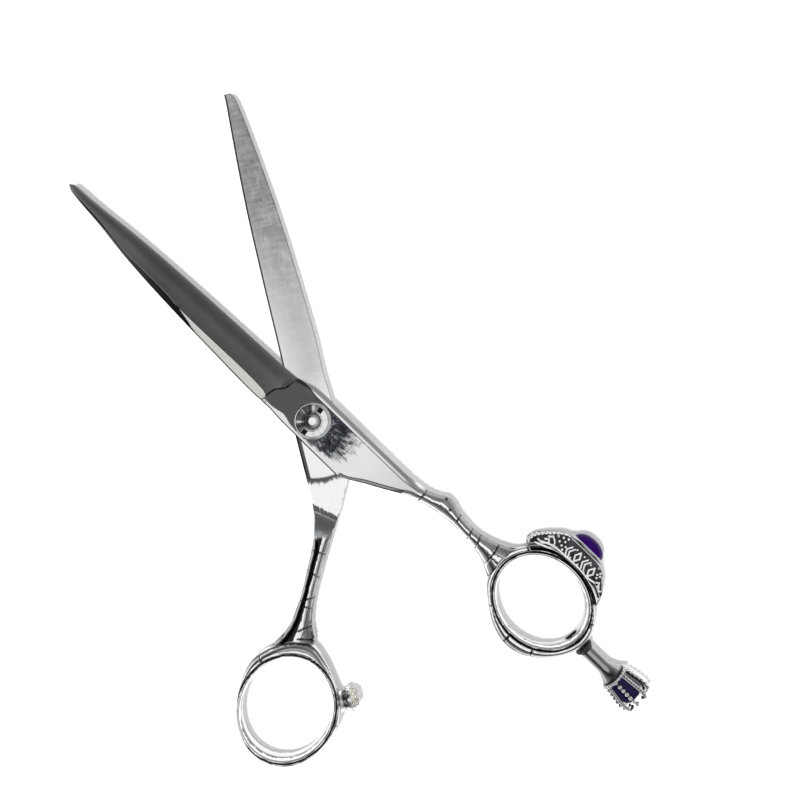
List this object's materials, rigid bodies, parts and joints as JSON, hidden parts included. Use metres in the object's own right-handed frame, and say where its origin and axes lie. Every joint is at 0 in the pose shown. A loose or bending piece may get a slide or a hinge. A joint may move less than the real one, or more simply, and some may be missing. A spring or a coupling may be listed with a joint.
{
  "type": "hairdressing shears",
  "caption": "Right-handed hairdressing shears with slim polished blades, a tension pivot, bamboo-pattern ring handles, a gem crest, a crown-shaped finger rest and a crystal bumper.",
  "frame": {"origin": "on the pivot axis, at the flat underside of the pivot screw's head, on which the shears stand", "axes": "+Z along the pivot axis, up through the tension nut; +Y along the finger blade to its tip; +X to the side of the finger blade's cutting edge"},
  "size_m": [0.1107, 0.1858, 0.0095],
  "materials": {
    "blade_steel": "satin ground along the blade",
    "handle_steel": "mirror polished",
    "crest_silver": "dark oxidised silver with polished high lines",
    "stem_steel": "polished, darkened",
    "purple_stone": "polished",
    "blue_stone": "polished",
    "crystal": "clear",
    "washer_rubber": "matt black",
    "bush_nylon": "natural",
    "bearing_bronze": "plain"
  },
  "bodies": {
    "finger_half": {"finger_blade": "blade_steel", "finger_handle": "handle_steel", "crest_setting": "crest_silver", "gem_bezel": "handle_steel", "gem_cabochon": "purple_stone", "pivot_bush": "bush_nylon", "bearing_washer": "bearing_bronze"},
    "thumb_half": {"thumb_blade": "blade_steel", "thumb_handle": "handle_steel", "stopper_stud": "stem_steel", "stopper_cup": "handle_steel", "stopper_jewel": "crystal", "pivot_screw": "handle_steel", "spring_washer": "handle_steel"},
    "tension_nut": {"tension_nut": "handle_steel"},
    "rest_slide": {"rest_washer": "washer_rubber"},
    "finger_rest": {"rest_stud": "stem_steel", "rest_stem": "stem_steel", "crown": "handle_steel", "crown_stone": "blue_stone"}
  },
  "joints": [
    {"name": "blade_pivot", "type": "hinge", "parent": "finger_half", "child": "thumb_half", "pos_m": [0, 0, 0.0046], "axis": [0, 0, 1], "range_deg": [-88.8, 31]},
    {"name": "nut_turn", "type": "hinge", "parent": "thumb_half", "child": "tension_nut", "pos_m": [0, 0, 0.0086], "axis": [0, 0, 1], "range_deg": [-90, 90]},
    {"name": "rest_travel", "type": "slide", "parent": "finger_half", "child": "rest_slide", "axis": [0, -1, 0], "range_m": [0, 0.0015]},
    {"name": "rest_turn", "type": "hinge", "parent": "rest_slide", "child": "finger_rest", "pos_m": [0.0062, -0.09, 0.0046], "axis": [0, -1, 0], "range_deg": [0, 1080]}
  ],
  "couplings": [
    {"joint": "rest_turn", "follows": "rest_travel", "rad_per_m": 12566}
  ]
}
